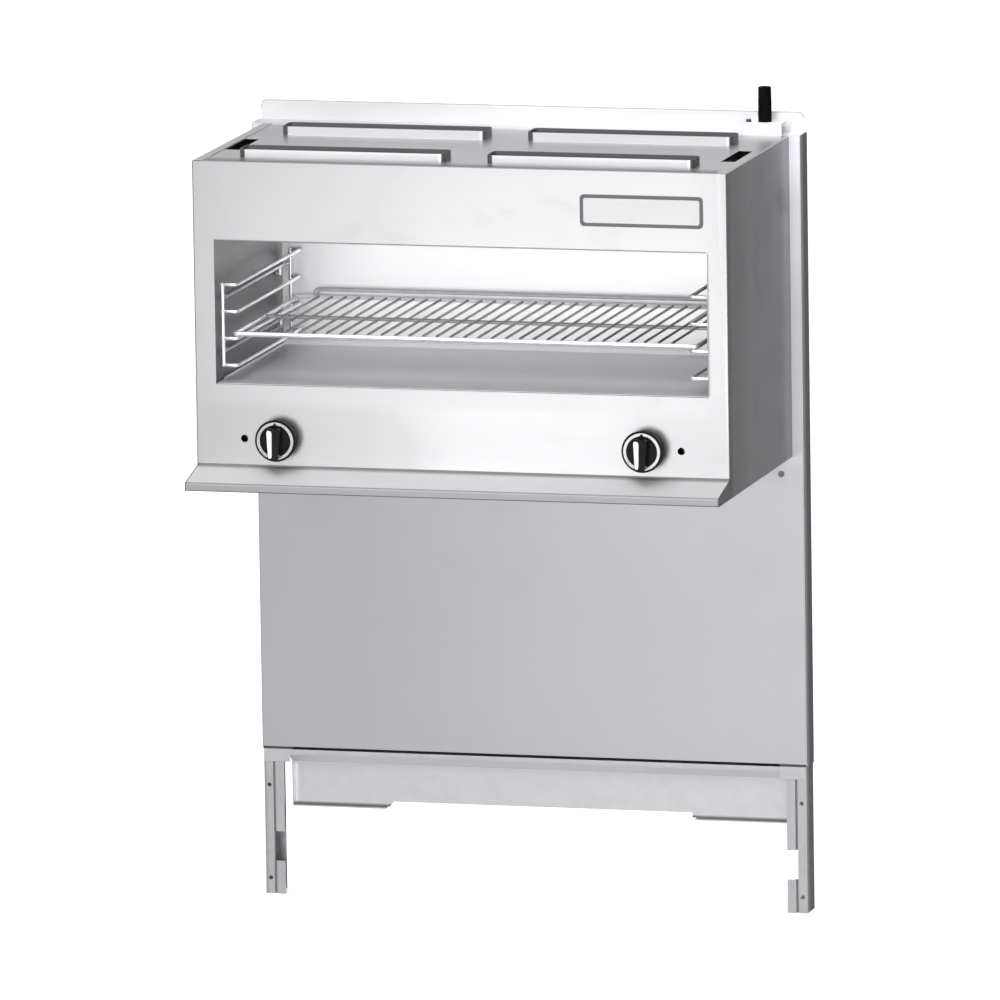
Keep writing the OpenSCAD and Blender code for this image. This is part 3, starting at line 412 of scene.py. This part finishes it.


# Painted shade on the side faces of the riser and the legs: darker towards the rear.
fold_painted_shade = lambda m: m.ramp(1, (-0.002, 0.024, 1.0, 0.30), (0.024, 0.046, 1.0, 0.85))
M = {
    "panel": steel("stainless_panel", (0.436, 0.436, 0.440), 0.34, 0, painted_light=lambda m: m.math("MULTIPLY", panel_painted_highlight(m), window_edge_painted_shade(m))),
    # painted shade on the deflector's slope, darker along its back edge under the panel
    "lip": steel("stainless_lip", (0.530, 0.530, 0.535), 0.62, 0, metal=0.4, painted_light=lambda m: m.ramp(1, (-0.420, -0.408, 1.0, 0.50))),
    # a darker copy of the deflector steel for its upright flange: painted shade
    "flange": steel("stainless_lip_flange_painted_shade", (0.350, 0.350, 0.355), 0.50, 0),
    # edge is a dark copy for bends, creases, window returns and rims: painted shade
    "edge": steel("stainless_bend_painted_shade", (0.20, 0.20, 0.205), 0.50, 0),
    # side, top and top_front are copies of one steel: side-facing faces darker, up-facing faces lighter, which is
    # painted light and shade; top and top_front are darker to the left and top_front darker towards the front edge,
    # also painted shade.
    "side": steel("stainless_side", (0.325, 0.324, 0.334), 0.38, 1, painted_light=side_painted_shade),
    "top": steel("stainless_top", (0.553, 0.551, 0.563), 0.36, 0, spread=0.09, painted_light=lambda m: m.ramp(0, (-0.43, -0.16, 0.88, 1.0))),
    "top_front": steel("stainless_top_front", (0.539, 0.537, 0.549), 0.36, 0,
                       painted_light=lambda m: m.math("MULTIPLY", m.ramp(1, (-0.400, -0.370, 0.42, 0.96)), m.ramp(0, (-0.43, -0.2, 0.80, 1.0)))),
    # collar is a bright copy for the collars' flat front walls and for right-facing faces at the top of the side
    # sheets: painted light
    "collar": steel("stainless_collar", (0.685, 0.685, 0.690), 0.40, 0, metal=0.55),
    # a dark copy for the collars' insides and rims: painted shade in the openings, with flue soot
    "soot_and_shade": steel("stainless_flue_soot_and_shade", (0.150, 0.148, 0.152), 0.55, 0, metal=0.55),
    # a dark copy for the collars' rounded corners, ends and rear walls: painted shade
    "ends": steel("stainless_collar_end_painted_shade", (0.120, 0.119, 0.122), 0.50, 0, metal=0.55),
    # riser carries painted light and shade; riser_side is a lighter copy for the riser's side faces: painted light,
    # with painted shade towards the rear
    "riser": steel("stainless_riser", (0.386, 0.384, 0.400), 0.42, 2, shade=0.025, painted_light=riser_painted_light),
    "riser_side": steel("stainless_riser_side", (0.80, 0.80, 0.81), 0.42, 2, shade=0.03, painted_light=fold_painted_shade),
    # painted shade on the upstand: darker towards the left
    "upstand": steel("stainless_upstand", (0.800, 0.800, 0.804), 0.42, 0, shade=0.03, metal=0.4,
                     painted_light=lambda m: m.ramp(0, (-0.42, 0.10, 0.80, 1.0))),
    "bracket": steel("bracket_steel", (0.95, 0.95, 0.955), 0.55, 0, shade=0.02, metal=0.1),
    # liner_side is a dark copy of the liner steel, painted shade on the cavity's side walls, darker again towards the
    # top; liner_rear is a near-white copy, painted light on the back wall
    "liner_side": steel("stainless_liner_side", (0.108, 0.107, 0.111), 0.42, 1, shade=0.03, metal=0.55, painted_light=lambda m: m.ramp(2, (0.93, 1.02, 1.0, 0.72))),
    "liner_rear": steel("stainless_liner_rear", (0.985, 0.985, 0.988), 0.42, 0, shade=0.02, metal=0.78),
    # painted shade on the tray: darker towards its front edge, a little lighter to the left
    "tray": steel("stainless_tray", (0.930, 0.924, 0.945), 0.42, 0, shade=0.03, metal=0.6,
                  painted_light=lambda m: m.math("MULTIPLY", m.ramp(1, (-0.405, -0.28, 0.54, 0.98)), m.ramp(0, (-0.40, -0.12, 1.04, 1.0)))),
    "plate": steel("plate_metal", (0.430, 0.430, 0.434), 0.34, 0),
    "plate_rim": steel("plate_rim_metal", (0.115, 0.115, 0.118), 0.40, 0),
    "galv": galvanised("galvanised_sheet"),
    # painted shade on the legs: dark above z 0.1356 next to the riser panel's lower edge, and darker at the left leg's
    # outer edge
    "leg": galvanised("riser_leg_sheet", (0.470, 0.470, 0.477), 0.40, 0.5, 
                      painted_light=lambda m: m.math("MULTIPLY", m.ramp(2, (0.1348, 0.1356, 1.0, 0.18)), m.ramp(0, (-0.4495, -0.4410, 0.62, 1.0)))),
    # a lighter copy for the legs' side faces: painted light, darker towards the rear
    "leg_side": galvanised("riser_leg_side_sheet", (0.80, 0.80, 0.81), 0.42, 0.5, painted_light=fold_painted_shade),
    # a dark copy for the recessed faces in the legs' slots: painted shade
    "groove": galvanised("riser_leg_inner_sheet", (0.150, 0.150, 0.155), 0.45, 0.5),
    # painted shade on the brace: darker below z 0.0395
    "brace": galvanised("riser_brace_sheet", (0.580, 0.580, 0.590), 0.42, 0.5, painted_light=lambda m: m.ramp(2, (0.0395, 0.0440, 0.30, 1.0))),
    "cross": galvanised("riser_cross_sheet", (0.500, 0.500, 0.508), 0.42, 0.5),
    # painted shade on the flanges: darker above z 0.134, under the riser panel's lower edge
    "fold": galvanised("riser_fold_sheet", (0.560, 0.560, 0.570), 0.42, 0.5, painted_light=lambda m: m.ramp(2, (0.1325, 0.1340, 1.0, 0.30))),
    "zinc": zinc("zinc_fasteners"),
    "screw": zinc("dark_screws", 0.22),
    "guide": chrome("guide_wire", 1.03, 0.28, 0.8),
    "chrome": chrome("chrome_wire", 1.03, 0.25, 0.8),
    # the rack's wires share one plating; these copies paint light and shade: the cross wires and the middle bar darker,
    # which is painted shade, the rear bar and the stop bar paler and duller, which is painted light
    "wires": chrome("rack_cross_wire_painted_shade", 0.26, 0.26),
    "bars": chrome("rack_bar_wire", 0.50, 0.35, 0.5),
    "rear_bar": chrome("rack_rear_wire_painted_light", 1.03, 0.45, 0.0),
    "stop": chrome("rack_stop_wire_painted_light", 0.74, 0.45, 0.2),
    "ring": chrome("knob_chrome", 0.37, 0.12),
    "index": chrome("knob_inlay", 1.03, 0.45, 0.05),
    "iron": iron("black_iron"),
    "cast": cast("cast_aluminium"),
    "brass": brass("brass_fittings"),
    "alu": tube_alu("aluminium_tube"),
    "ceramic": ceramic("burner_ceramic"),
    "screen": screen("screen_wire"),
    "wool": wool("mineral_wool"),
    "black": bakelite("knob_plastic"),
    # a matte copy of the knob plastic for the skirt's sides, its tone set to their shade: painted shade
    "skirt": bakelite("knob_skirt_plastic", 0.0, 11.0),
}

# ------------------------------------------------------------------ mesh helpers


def piece(name, bm, mat, node=None, body=None, sharp=40, weighted=True):
    """Makes an object of bm, gives it its finish, and lets it ride."""
    me = bpy.data.meshes.new(name)
    bmesh.ops.recalc_face_normals(bm, faces=bm.faces)
    bm.to_mesh(me)
    bm.free()
    for p in me.polygons:
        p.use_smooth = True
    me.set_sharp_from_angle(angle=math.radians(sharp))
    ob = bpy.data.objects.new(name, me)
    scene.collection.objects.link(ob)
    for mm in (mat if isinstance(mat, (list, tuple)) else [mat]):
        me.materials.append(mm)
    if weighted:
        w = ob.modifiers.new("normals", "WEIGHTED_NORMAL")
        w.keep_sharp = True
    if node:
        names = node if isinstance(node, (list, tuple)) else [node]
        body = body or NODES[names[0]]["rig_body"]
        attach(ob, body)
        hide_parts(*names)
    else:
        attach(ob, body)
    return ob


def cad_bm(node):
    bm = bmesh.new()
    bm.from_mesh(NODES[node].data)
    bmesh.ops.remove_doubles(bm, verts=bm.verts, dist=2e-6)
    bmesh.ops.dissolve_limit(bm, angle_limit=math.radians(0.6), verts=bm.verts, edges=bm.edges)
    return bm


def hard_edges(bm, deg=30):
    out = []
    for e in bm.edges:
        if len(e.link_faces) == 2:
            try:
                a = e.calc_face_angle()
            except ValueError:
                continue
            if a > math.radians(deg):
                out.append(e)
    return out


def refine(node, mat, width=0.35, segs=2, bends=(), name=None, sharp=50, pick=None):
    """The CAD node's own shape with rolled edges. bends is [(test(midpoint mm, direction), radius mm)].
    pick(centre mm, normal) gives the number of a face's material in the list mat; the picks hand out lighter and darker
    copies of a material by face direction, which is painted light and shade."""
    bm = cad_bm(node)
    for test, radius in bends:
        es = [e for e in hard_edges(bm) if test((e.verts[0].co + e.verts[1].co) / 2 / MM, (e.verts[1].co - e.verts[0].co).normalized())]
        if es:
            bmesh.ops.bevel(bm, geom=es, offset=radius * MM, segments=5, profile=0.5, affect="EDGES", clamp_overlap=True)
    es = hard_edges(bm)
    if es and width:
        bmesh.ops.bevel(bm, geom=es, offset=width * MM, segments=segs, profile=0.6, affect="EDGES", clamp_overlap=True)
    if pick:
        bm.normal_update()
        for f in bm.faces:
            f.material_index = pick(f.calc_center_median() / MM, f.normal)
    return piece(name or node + "_formed", bm, mat, node, sharp=sharp)


def frames(path):
    """A tangent and two normals at each point, carried along without twist."""
    out, nrm = [], None
    n = len(path)
    for i, p in enumerate(path):
        a, c = path[max(0, i - 1)], path[min(n - 1, i + 1)]
        t = (c - a).normalized()
        if nrm is None:
            h = Vector((0, 0, 1)) if abs(t.z) < 0.9 else Vector((1, 0, 0))
            nrm = t.cross(h).normalized()
        else:
            nrm = (nrm - nrm.dot(t) * t).normalized()
        out.append((t, nrm, t.cross(nrm).normalized()))
    return out


def wire(bm, pts, radius, sides=14, cap=True, mat=0):
    """A round wire along points in mm, with slightly crowned ends."""
    path = [Vector(p) * MM for p in pts]
    fr = frames(path)
    rings = []
    rr = radius * MM

    def ring(centre, f, k):
        return [bm.verts.new(centre + k * (f[1] * math.cos(2 * math.pi * j / sides) + f[2] * math.sin(2 * math.pi * j / sides)))
                for j in range(sides)]
    if cap:
        rings.append(ring(path[0], fr[0], rr * 0.80))
        rings.append(ring(path[0] + fr[0][0] * rr * 0.22, fr[0], rr * 0.985))
    for p, f in zip(path[1:-1] if cap else path, fr[1:-1] if cap else fr):
        rings.append(ring(p, f, rr))
    if cap:
        if len(path) == 2:
            rings.append(ring(path[0] + fr[0][0] * rr * 0.5, fr[0], rr))
            rings.append(ring(path[1] - fr[1][0] * rr * 0.5, fr[1], rr))
        rings.append(ring(path[-1] - fr[-1][0] * rr * 0.22, fr[-1], rr * 0.985))
        rings.append(ring(path[-1], fr[-1], rr * 0.80))
    for a, c in zip(rings, rings[1:]):
        for j in range(sides):
            f = bm.faces.new((a[j], a[(j + 1) % sides], c[(j + 1) % sides], c[j]))
            f.material_index = mat
    if cap:
        bm.faces.new(list(reversed(rings[0]))).material_index = mat
        bm.faces.new(rings[-1]).material_index = mat


def rounded(pts, radius, n=8):
    """Points of a polyline (mm) with its inner corners turned into arcs."""
    pts = [Vector(p) for p in pts]
    out = [pts[0]]
    for a, p, c in zip(pts, pts[1:], pts[2:]):
        d1, d2 = (p - a).normalized(), (c - p).normalized()
        ang = d1.angle(d2)
        if ang < 1e-4:
            out.append(p)
            continue
        cut = radius * math.tan(ang / 2)
        s, e = p - d1 * cut, p + d2 * cut
        centre = s + (d2 - d1 * d1.dot(d2)).normalized() * radius
        v1, v2 = s - centre, e - centre
        for i in range(n + 1):
            th = ang * i / n
            out.append(centre + v1 * math.cos(th) + d1 * radius * math.sin(th))
    out.append(pts[-1])
    return out


# ------------------------------------------------------------------ sheet-metal pieces
near = lambda a, b, t=0.6: abs(a - b) < t
along_x = lambda d: abs(d.x) > 0.9
along_z = lambda d: abs(d.z) > 0.9

RIM = T + 31.2        # top of the upstand
COLLARS = (YB - 362.0, YB - 113.0)


# Painted shade by face direction on the front panel: its up-facing top return takes the top's copy, its rolled top bend
# and the window's returns the dark bend copy.
def front_shade_pick(c, n):
    if n.z > 0.75 and c.z > T - 3:
        return 1
    if 0.15 < n.z and c.z > T - 6:
        return 2
    return 2 if abs(n.y) < 0.93 and c.z < T - 120 and c.z > T - 356 and abs(c.x) < 400 and c.y < YF + 1.6 else 0


# Painted light and shade by face direction on the side sheets: up-facing faces take the top's copy, right-facing faces
# at the top and the right-hand top bend the bright copy, the left-hand top bend the dark bend copy.
def side_shade_pick(c, n):
    if n.z > 0.75 and c.z > T - 3:
        return 1
    if n.x > 0.7 and abs(c.x) < 417 and c.z > T - 1.6:
        return 3
    return (3 if c.x > 0 else 2) if n.z > 0.2 and c.z > T - 4 else 0


# Painted light and shade on the flue collars: the flat front walls take the bright copy, the rounded corners, ends and
# rear walls the dark end copy, the rims and insides the dark flue copy.
def top_shade_pick(c, n):
    if c.z < T + 0.3 and not (abs(n.z) < 0.5 and c.z > T - 1.4):
        return 0
    y = min(COLLARS, key=lambda v: abs(v + 25 - c.y))
    x = abs(c.x) - 201
    if n.z > 0.5:
        return 2
    if n.y < -0.5 and c.y < y + 6:
        return 1 if n.y < (-0.995 if n.x < 0 else -0.90) else 3
    if n.y > 0.3 and c.y > y + 43 or abs(x) > 162 and n.x * x * c.x > 0:
        return 3
    return 2


# Painted light and shade by face direction on the riser legs: the recessed faces in the slot take the dark groove copy,
# the side faces the light side copy, the rear faces plain galvanised sheet.
def post_shade_pick(c, n):
    if n.y > 0.5:
        return 3
    if n.y < -0.75 and 4 < c.y < 7:
        return 2
    if abs(n.x) > 0.75:
        return 2 if abs(abs(c.x) - 446.4) < 0.3 else 1
    return 0


refine("body_front_panel", [M["panel"], M["top_front"], M["edge"]], 0.35, 2,
       [(lambda p, d: along_x(d) and near(p.z, T) and near(p.y, YF), 2.6),
        (lambda p, d: along_x(d) and near(p.z, T - 1.5) and near(p.y, YF + 1.5), 1.1),
        (lambda p, d: along_x(d) and near(p.z, T - 127.1) and near(p.y, YF), 0.9),
        (lambda p, d: along_z(d) and near(p.x, 399.0) and near(p.y, YF) and T - 355 < p.z < T - 127, 1.3)],
       "front_panel_formed", pick=front_shade_pick)
for s in ("left", "right"):
    refine(f"body_{s}_side", [M["side"], M["top"], M["edge"], M["collar"]], 0.3, 2,
           [(lambda p, d: abs(d.y) > 0.9 and near(p.z, T) and near(abs(p.x), 432), 2.4)], f"{s}_side_formed", pick=side_shade_pick)
    refine(f"{s}_liner", M["liner_side"], 0.3)
    refine(f"riser_{s}_post", [M["leg"], M["leg_side"], M["groove"], M["galv"]], 0.4, 3, pick=post_shade_pick)
refine("body_top_panel", [M["top"], M["collar"], M["soot_and_shade"], M["ends"]], 0.3, 3, name="top_panel_formed", pick=top_shade_pick)
# the deflector's upright flange takes the darker flange copy and its crease the dark bend copy: painted shade
refine("heat_deflector", [M["lip"], M["flange"], M["edge"]], 0.3, 2,
       [(lambda p, d: along_x(d) and near(p.z, T - 501.2) and near(p.y, YF - 73.7), 3.0),
        (lambda p, d: along_x(d) and near(p.z, T - 514.2) and near(p.y, YF - 73.7), 2.0)], "heat_deflector_formed",
       pick=lambda c, n: 1 if n.y < -0.9 and c.z < T - 495 else 2 if c.y < YF - 65 and abs(n.z) < 0.94 and n.y < -0.1 else 0)
# the riser panel's side faces take the lighter side copy and its top bend the dark bend copy: painted light and shade
refine("riser_front_panel", [M["riser"], M["riser_side"], M["edge"]], 0.4, 2,
       [(lambda p, d: along_z(d) and near(abs(p.x), 450) and near(p.y, -1.5), 2.0),
        (lambda p, d: along_x(d) and near(p.z, T) and near(p.y, -1.5), 2.0)], "riser_front_formed",
       pick=lambda c, n: 1 if abs(n.x) > 0.6 else 2 if 0.2 < n.z < 0.9 and c.z > T - 4 and c.y < 1 else 0)
# the upstand's top and end rims take the dark bend copy: painted shade
refine("riser_rear_panel", [M["upstand"], M["edge"]], 0.5, 3,
       [(lambda p, d: p.z > T + 2 and p.y < 44 and (near(p.z, RIM, 10) or abs(p.x) > 436), 1.1)], "riser_rear_formed",
       pick=lambda c, n: int(c.z > T + 4 and abs(n.y) < 0.93))
refine("riser_cross_member", M["cross"], 0.4)
refine("riser_lower_brace", M["brace"], 0.4)
refine("riser_flanges", M["fold"], 0.4)
refine("pipe_bracket", M["bracket"], 0.5, 3)
refine("rear_liner", M["liner_rear"], 0.3)
refine("crumb_tray", M["tray"], 0.3)
refine("riser_screws", M["screw"], 0.5, 3)
refine("body_rear_panel", M["galv"], 0.35)
refine("body_bottom_panel", M["side"], 0.35)
refine("burner_ceiling", M["tray"], 0.35)

# name plate: blank face with a raised border
bm = cad_bm("name_plate")
es = hard_edges(bm)
bmesh.ops.bevel(bm, geom=es, offset=0.3 * MM, segments=2, profile=0.6, affect="EDGES", clamp_overlap=True)
for f in bm.faces:
    c = f.calc_center_median() / MM
    if c.y < YF - 1.05:
        f.material_index = 1
piece("name_plate_formed", bm, [M["plate"], M["plate_rim"]], "name_plate", sharp=50)

# ------------------------------------------------------------------ rack and guides
R1, LP = T - 200.0, 42.8
YQ, YR, PX = YB - 384.0, YB - 19.0, 384.0
for s, name, GX, RX in ((-1, "left", 392.0, 369.0), (1, "right", 395.6, 365.4)):
    bm = bmesh.new()
    for k in range(4):
        z = R1 - k * LP
        wire(bm, rounded([(s * (GX + 3.15), YQ, z), (s * RX, YQ, z), (s * RX, YR, z), (s * PX, YR, z)], 6.5, 8), 3.0, 16)
    wire(bm, [(s * GX, YQ, R1 - 3 * LP - 2.5), (s * GX, YQ, R1 + 2.5)], 3.0, 16)
    wire(bm, [(s * PX, YR, R1 - 3 * LP - 3.5), (s * PX, YR, R1 + 3.5)], 3.0, 16)
    for z in (R1 - 22.5, R1 - 2 * LP - 21.5):
        wire(bm, rounded([(s * GX, YQ, z), (s * GX, YR, z), (s * PX, YR, z)], 5, 8), 2.2)
        wire(bm, [(s * GX, YQ + 34, z), (s * 399, YQ + 34, z)], 1.8)
        wire(bm, [(s * GX, YR - 34, z - 14), (s * GX, YR - 34, z)], 2.8)
        wire(bm, [(s * GX, YR - 34, z - 11), (s * 399, YR - 34, z - 11)], 2.4)
    piece(f"{name}_rack_guide_wires", bm, M["guide"], f"{name}_rack_guide", weighted=False)

RZ = R1 - 2 * LP + 3 + 4 + 0.3
HX, Y0, Y1 = 375.0, YB - 382.0, YB - 24.0
bm = bmesh.new()
wire(bm, rounded([(-HX, Y1, RZ), (-HX, Y0, RZ), (HX, Y0, RZ), (HX, Y1, RZ)], 7, 10), 4.0, 18)
wire(bm, [(-HX - 2, Y1, RZ + 4.3), (HX + 2, Y1, RZ + 4.3)], 3.4, 14, mat=3)
wire(bm, [(-HX, YB - 203, RZ), (HX, YB - 203, RZ)], 3.0, mat=2)
for i in range(31):
    x = (i - 15) * 22.4
    wire(bm, [(x, Y0 - 2, RZ + 4.8), (x, Y1 - 2, RZ + 4.8)], 2.0, 12, mat=1)
piece("rack_wires", bm, [M["chrome"], M["wires"], M["bars"], M["rear_bar"]], "rack", weighted=False)
bm = bmesh.new()
wire(bm, rounded([(-342, Y1 - 1, RZ + 5), (-342, Y1 - 1, RZ + 16.2), (342, Y1 - 1, RZ + 16.2), (342, Y1 - 1, RZ + 5)], 6, 8), 3.0)
piece("rack_stop_wires", bm, M["stop"], "rack_stop_bar", weighted=False)

# ------------------------------------------------------------------ knobs
KF = YF - 24.5
for s, name in ((-1, "left"), (1, "right")):
    kx = s * 297.0
    # the skirt's sides take the matte copy: painted shade
    refine(f"{name}_knob", [M["black"], M["skirt"]], 0.6, 3, name=f"{name}_knob_moulding", sharp=35,
           pick=lambda c, n: int(c.y > KF - 0.8 and abs(n.y) < 0.9))
    refine(f"{name}_knob_ring", M["ring"], 1.1, 5, name=f"{name}_knob_bezel", sharp=60)
    # a bright white strip lying on the grip's left slope, wide at the top
    bm = bmesh.new()
    rows = []
    for i in range(13):
        v = i / 12
        z = GAS - 25.0 + 43.8 * v
        k = 1 - 0.35 * max(0.0, abs(2 * v - 1) - 0.9) / 0.1
        mid, half = -4.3 - 0.9 * v, (3.4 + 1.5 * v) * k
        row = []
        for q, lift in ((-1, -0.25), (-1, 0.10), (-0.9, 0.22), (0, 0.26), (0.9, 0.22), (1, 0.10), (1, -0.25)):
            x = mid + q * half
            row.append(bm.verts.new(Vector((kx + x - 0.44 * lift, KF - 15.4 - (x + 10.6) * 4.4 / 9.0 - 0.9 * lift, z)) * MM))
        rows.append(row)
    for a, c in zip(rows, rows[1:]):
        for j in range(7):
            bm.faces.new((a[j], a[(j + 1) % 7], c[(j + 1) % 7], c[j]))
    bm.faces.new(list(reversed(rows[0])))
    bm.faces.new(rows[-1])
    piece(f"{name}_knob_white_strip", bm, M["index"], body=NODES[f"{name}_knob"]["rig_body"], sharp=40)

# ------------------------------------------------------------------ gas pipe with its thread
bm = bmesh.new()
px, py = 387.5, 22.5
steps, pitch = 48, 1.814
z_low, z_top = GAS + 18.0, T + 73.5
levels = [(z_low, 10.67, 0.0), (z_low + 0.6, 10.67, 0.0), (z_top - 22.5, 10.67, 0.0), (z_top - 20.6, 10.62, 0.0)]
n = 80
for i in range(n + 1):
    z = z_top - 20.2 + 19.2 * i / n
    k = min(1.0, i / 6)
    levels.append((z, 10.60 - 0.06 * i / n, 0.45 * k))
levels.append((z_top - 0.4, 10.1, 0.0))
levels.append((z_top, 9.7, 0.0))
rings = []
for z, rad, depth in levels:
    ring = []
    for j in range(steps):
        th = 2 * math.pi * j / steps
        ph = ((z - z_top) / pitch - th / (2 * math.pi)) % 1.0
        rad2 = rad - depth * (1 - abs(2 * ph - 1))
        ring.append(bm.verts.new(Vector((px + rad2 * math.cos(th), py + rad2 * math.sin(th), z)) * MM))
    rings.append(ring)
for rad, z in ((8.2, z_top), (7.9, z_top - 0.5), (7.9, z_low)):
    rings.append([bm.verts.new(Vector((px + rad * math.cos(2 * math.pi * j / steps), py + rad * math.sin(2 * math.pi * j / steps), z)) * MM) for j in range(steps)])
rings.append(rings[0])
for a, c in zip(rings, rings[1:]):
    for j in range(steps):
        bm.faces.new((a[j], a[(j + 1) % steps], c[(j + 1) % steps], c[j]))
piece("gas_pipe_threaded", bm, M["iron"], "gas_supply_pipe", sharp=45, weighted=False)

# ------------------------------------------------------------------ finishes of the CAD nodes that stay
keep = {
    "iron": ["gas_elbow", "gas_nipple", "gas_manifold"],
    "cast": ["pressure_regulator"],
    "brass": ["left_gas_valve", "right_gas_valve", "pilot_valves", "orifice_hoods", "pilot_burners", "left_valve_stem", "right_valve_stem"],
    "alu": ["left_gas_tube", "right_gas_tube", "pilot_tubes"],
    "galv": ["left_mixer_tube", "right_mixer_tube", "left_burner_plenum", "right_burner_plenum", "flue_ducts", "floor_liner"],
    "ceramic": ["left_burner_tiles", "right_burner_tiles"],
    "screen": ["left_burner_screen", "right_burner_screen"],
    "wool": ["left_insulation", "right_insulation", "rear_insulation", "floor_insulation"],
    "zinc": ["body_mount_bolts"],
}
for key, names in keep.items():
    for nn in names:
        o = NODES[nn]
        if not o.material_slots:
            o.data.materials.append(M[key])
        for sl in o.material_slots:
            sl.material = M[key]

# ------------------------------------------------------------------ floor, light, world
bm = bmesh.new()
bmesh.ops.create_grid(bm, x_segments=8, y_segments=8, size=60.0)
me = bpy.data.meshes.new("floor")
bm.to_mesh(me)
bm.free()
floor = bpy.data.objects.new("floor", me)
floor.location = (0, 0, -0.1022)
scene.collection.objects.link(floor)
fm = Mat("floor_pale", Metallic=0.0, Roughness=0.9)
fm.p.inputs["Specular IOR Level"].default_value = 0.0
cloud = fm.noise((0.4, 0.4, 0.4), 1.0, 2.0, 0.5)
fm.set(Base_Color=fm.mix(cloud, (0.80, 0.80, 0.80), (0.84, 0.84, 0.84)))
fm.p.inputs["Emission Color"].default_value = (1, 1, 1, 1)
fm.p.inputs["Emission Strength"].default_value = 0.62
me.materials.append(fm.m)
floor.visible_glossy = False
floor.visible_diffuse = False


def area(name, at, to, size, power, colour=(1, 1, 1)):
    d = bpy.data.lights.new(name, "AREA")
    d.shape = "RECTANGLE"
    d.size, d.size_y = size
    d.energy = power
    d.color = colour
    o = bpy.data.objects.new(name, d)
    o.location = at
    o.rotation_mode = "QUATERNION"
    o.rotation_quaternion = (Vector(to) - Vector(at)).to_track_quat("-Z", "Y")
    o.visible_camera = False
    scene.collection.objects.link(o)
    return o


area("soft_top", (-0.6, -1.2, 3.6), (0, -0.3, 0.9), (2.4, 1.8), 58.8)
area("soft_front", (-0.25, -2.6, 0.55), (0.2, -0.4, 0.9), (1.0, 0.7), 5.3)
area("soft_front_left", (-0.95, -2.6, 0.6), (-0.2, -0.4, 0.9), (0.8, 0.7), 2.0)
area("soft_front_right", (0.25, -2.6, 0.75), (0.4, -0.4, 0.9), (0.8, 0.7), 1.1)

w = bpy.data.worlds.new("studio")
scene.world = w
w.use_nodes = True
nt = w.node_tree
nt.nodes.clear()


def wn(kind, **p):
    n2 = nt.nodes.new(kind)
    for k, v in p.items():
        setattr(n2, k, v)
    return n2


def wmath(op, a, b2=None, clamp=False):
    t = wn("ShaderNodeMath", operation=op, use_clamp=clamp)
    for i, v in enumerate((a, b2)):
        if v is None:
            continue
        if isinstance(v, (int, float)):
            t.inputs[i].default_value = v
        else:
            nt.links.new(v, t.inputs[i])
    return t.outputs[0]


# a soft room of broad light patches: azimuth from the front towards +X, elevation, tightness, strength
PATCHES = [(30, 0, 16, 3.41), (0, 42, 10, 2.053), (15, 12, 40, 1.939), (0, 0, 16, 1.892), (15, -10, 40, 1.886),
           (0, -90, 10, 1.785), (60, 0, 16, 1.175), (180, 0, 16, 0.886), (60, 42, 10, 0.876), (210, 0, 16, 0.862),
           (0, 90, 10, 0.724), (180, 42, 10, 0.711), (270, 0, 16, 0.7), (240, 0, 16, 0.5), (180, -42, 10, 0.499),
           (240, -42, 10, 0.449), (300, 0, 16, 0.35), (120, 42, 10, 0.3), (60, -42, 10, 0.273),
           (300, -42, 10, 0.193), (195, 10, 40, 0.11), (90, 0, 16, 0.089), (165, -10, 40, 0.085),
           (240, 42, 10, 0.055), (300, 42, 10, 0.053)]
tc = wn("ShaderNodeTexCoord")
lum = None
for az, el, sharp, level in PATCHES:
    a, e = math.radians(az), math.radians(el)
    dot = wn("ShaderNodeVectorMath", operation="DOT_PRODUCT")
    nt.links.new(tc.outputs["Generated"], dot.inputs[0])
    dot.inputs[1].default_value = (math.sin(a) * math.cos(e), -math.cos(a) * math.cos(e), math.sin(e))
    v = wmath("MULTIPLY", wmath("POWER", wmath("MAXIMUM", dot.outputs["Value"], 0.0), float(sharp)), level)
    lum = v if lum is None else wmath("ADD", lum, v)
bg = wn("ShaderNodeBackground")
bg.inputs["Strength"].default_value = 1.0
cc = wn("ShaderNodeCombineColor")
for i, k in enumerate((0.996, 0.992, 1.012)):
    nt.links.new(wmath("MULTIPLY", lum, k), cc.inputs[i])
nt.links.new(cc.outputs[0], bg.inputs["Color"])
plain = wn("ShaderNodeBackground")
plain.inputs["Color"].default_value = (1, 1, 1, 1)
lp = wn("ShaderNodeLightPath")
mx = wn("ShaderNodeMixShader")
nt.links.new(lp.outputs["Is Camera Ray"], mx.inputs[0])
nt.links.new(bg.outputs[0], mx.inputs[1])
nt.links.new(plain.outputs[0], mx.inputs[2])
wo = wn("ShaderNodeOutputWorld")
nt.links.new(mx.outputs[0], wo.inputs["Surface"])

scene.view_settings.view_transform = "Standard"
scene.view_settings.look = "None"
scene.view_settings.exposure = 0.0
